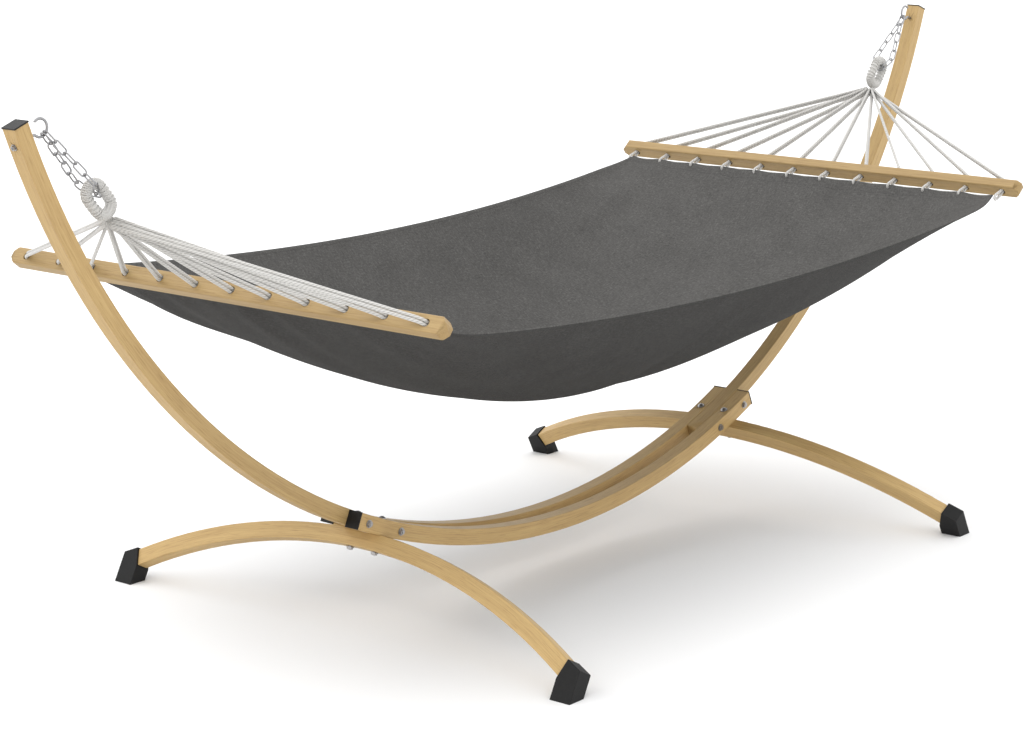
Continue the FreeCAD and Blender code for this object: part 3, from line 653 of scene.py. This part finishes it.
def bed_point(u, v):
    """The resting shape with its relief, along the surface's own upward normal."""
    step = 0.002
    place = bed_place(u, v)
    along = bed_place(min(1.0, u + step), v) - bed_place(max(-1.0, u - step), v)
    across = bed_place(u, min(1.0, v + step)) - bed_place(u, max(-1.0, v - step))
    normal = along.cross(across).normalized()
    if normal.z < 0:
        normal.negate()
    place += normal * bed_relief(u, v)
    scallop = 0.5 - 0.5 * math.cos(2 * math.pi * v * HEM_HALF_WIDTH / LOOP_SPACING + math.pi)
    pull = max(0.0, (abs(u) - 0.97) / 0.03)
    place.x -= math.copysign(0.0050 * scallop * pull, u)
    return place


def spaced(count, power):
    """Values from -1 to 1, closer together towards both ends."""
    values = []
    for i in range(count + 1):
        t = 2 * i / count - 1
        values.append(math.copysign(1 - (1 - abs(t)) ** power, t))
    return values


def bed_mesh():
    """Cloth surface whose UV map is in metres from the middle of the cut cloth."""
    rows, columns = spaced(ROWS, 1.12), spaced(COLUMNS, 1.25)
    grid = [[bed_point(u, v) for v in columns] for u in rows]
    vertices = [tuple(point) for row in grid for point in row]
    uvs = []
    run = [0.0]
    for before, after in zip(grid, grid[1:]):
        run.append(run[-1] + (after[COLUMNS // 4] - before[COLUMNS // 4]).length)
    for row, along in zip(grid, run):
        across = [0.0]
        for before, after in zip(row, row[1:]):
            across.append(across[-1] + (after - before).length)
        for distance in across:
            uvs.append(((distance / across[-1] - 0.5) * CLOTH_WIDTH, (along / run[-1] - 0.5) * CLOTH_LENGTH))
    faces = []
    for i in range(ROWS):
        for j in range(COLUMNS):
            a = i * (COLUMNS + 1) + j
            faces.append((a, a + COLUMNS + 1, a + COLUMNS + 2, a + 1))
    mesh = bpy.data.meshes.new("cloth_bed")
    mesh.from_pydata(vertices, [], faces)
    layer = mesh.uv_layers.new(name="cloth")
    for loop in mesh.loops:
        layer.data[loop.index].uv = uvs[loop.vertex_index]
    mesh.polygons.foreach_set("use_smooth", [True] * len(mesh.polygons))
    mesh.update()
    return mesh, uvs


def settle(piece, most):
    """Hang the cloth from its end hems by simulation, no point moving further than most."""
    start = [vertex.co.copy() for vertex in piece.data.vertices]
    group = piece.vertex_groups.new(name="hem")
    held = [i for i in range(len(start)) if i // (COLUMNS + 1) in (0, 1, ROWS - 1, ROWS)]
    group.add(held, 1.0, "REPLACE")
    cloth = piece.modifiers.new("hang", "CLOTH")
    cloth.settings.vertex_group_mass = "hem"
    cloth.settings.quality = 4
    cloth.settings.mass = 0.12
    cloth.settings.tension_stiffness = 18
    cloth.settings.compression_stiffness = 18
    cloth.settings.shear_stiffness = 8
    cloth.settings.bending_stiffness = 0.3
    cloth.collision_settings.use_collision = False
    scene = bpy.context.scene
    for number in range(1, SIMULATED_FRAMES + 1):
        scene.frame_set(number)
    graph = bpy.context.evaluated_depsgraph_get()
    settled = [vertex.co.copy() for vertex in piece.evaluated_get(graph).data.vertices]
    piece.modifiers.remove(cloth)
    piece.vertex_groups.remove(group)
    scene.frame_set(1)
    for vertex, first, last in zip(piece.data.vertices, start, settled):
        moved = last - first
        far = moved.length
        if far > 0:
            moved *= most * math.tanh(far / most) / far
        vertex.co = first + moved
    piece.data.update()


def bed():
    """One piece of cloth from end to end, thicker where its hems are turned in."""
    mesh, uvs = bed_mesh()
    piece = bpy.data.objects.new("cloth_bed", mesh)
    bpy.context.scene.collection.objects.link(piece)
    give(piece, CLOTH)
    # Second slot: the darker underside copy (painted shade), which material_offset gives to the faces the
    # solidify adds below
    piece.data.materials.append(CLOTH_PAINTED_SHADE_BACK)
    settle(piece, MOST_SETTLED)
    doubled = piece.vertex_groups.new(name="doubled")
    for i, (across, along) in enumerate(uvs):
        edge = min(CLOTH_WIDTH / 2 - abs(across) - SIDE_HEM, CLOTH_LENGTH / 2 - abs(along) - END_HEM)
        doubled.add([i], 1.0 if edge < 0.002 else 0.5, "REPLACE")
    thick = piece.modifiers.new("thickness", "SOLIDIFY")
    thick.thickness = 2 * CLOTH_THICKNESS
    thick.offset = 0.0
    thick.vertex_group = "doubled"
    thick.material_offset = 1
    select_only(piece)
    bpy.ops.object.modifier_apply(modifier="thickness")
    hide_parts("left_bed_half", "right_bed_half")
    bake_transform(piece)


bed()


# ---------------------------------------------------------------- floor, light and camera

def studio():
    """Pale floor under a bright surround and one soft sun."""
    bpy.ops.mesh.primitive_plane_add(size=80, location=(0, 0, 0))
    floor = bpy.context.active_object
    floor.name = "floor"
    material, tree, shader = new_material("pale_floor", 0.9)
    tint = noise(tree, object_place(tree), 0.4, 2.0)
    colour = ramp(tree, tint, [(0.0, (0.86, 0.86, 0.86)), (1.0, (0.89, 0.89, 0.89))])
    tree.links.new(colour, shader.inputs["Base Color"])
    give(floor, material)
    world = bpy.data.worlds.new("studio")
    bpy.context.scene.world = world
    world.use_nodes = True
    world.node_tree.nodes["Background"].inputs["Color"].default_value = (1.0, 1.0, 1.0, 1.0)
    world.node_tree.nodes["Background"].inputs["Strength"].default_value = 1.42
    data = bpy.data.lights.new("soft_key", "SUN")
    data.energy = 1.05
    data.angle = math.radians(75)
    lamp = bpy.data.objects.new("soft_key", data)
    lamp.rotation_euler = Vector((-0.28, 0.30, 1.0)).to_track_quat("Z", "Y").to_euler()
    bpy.context.scene.collection.objects.link(lamp)
    bpy.context.scene.view_settings.view_transform = "Standard"


def camera():
    """Looks along the hammock from above its left end."""
    data = bpy.data.cameras.new("camera")
    data.sensor_width = 36.0
    data.lens = 93.115
    data.shift_x = -0.0031
    data.shift_y = -0.0006
    data.clip_end = 200.0
    view = bpy.data.objects.new("camera", data)
    yaw, pitch, roll = 0.68778, -0.22150, -0.0031
    forward = Vector((math.cos(pitch) * math.cos(yaw), math.cos(pitch) * math.sin(yaw), math.sin(pitch)))
    right = forward.cross(Vector((0, 0, 1))).normalized()
    up = right.cross(forward)
    turned_right = right * math.cos(roll) + up * math.sin(roll)
    turned_up = up * math.cos(roll) - right * math.sin(roll)
    turn = Matrix((turned_right, turned_up, -forward)).transposed()
    view.matrix_world = Matrix.Translation((-5.0373, -4.0115, 1.9295)) @ turn.to_4x4()
    bpy.context.scene.collection.objects.link(view)
    bpy.context.scene.camera = view


studio()
camera()
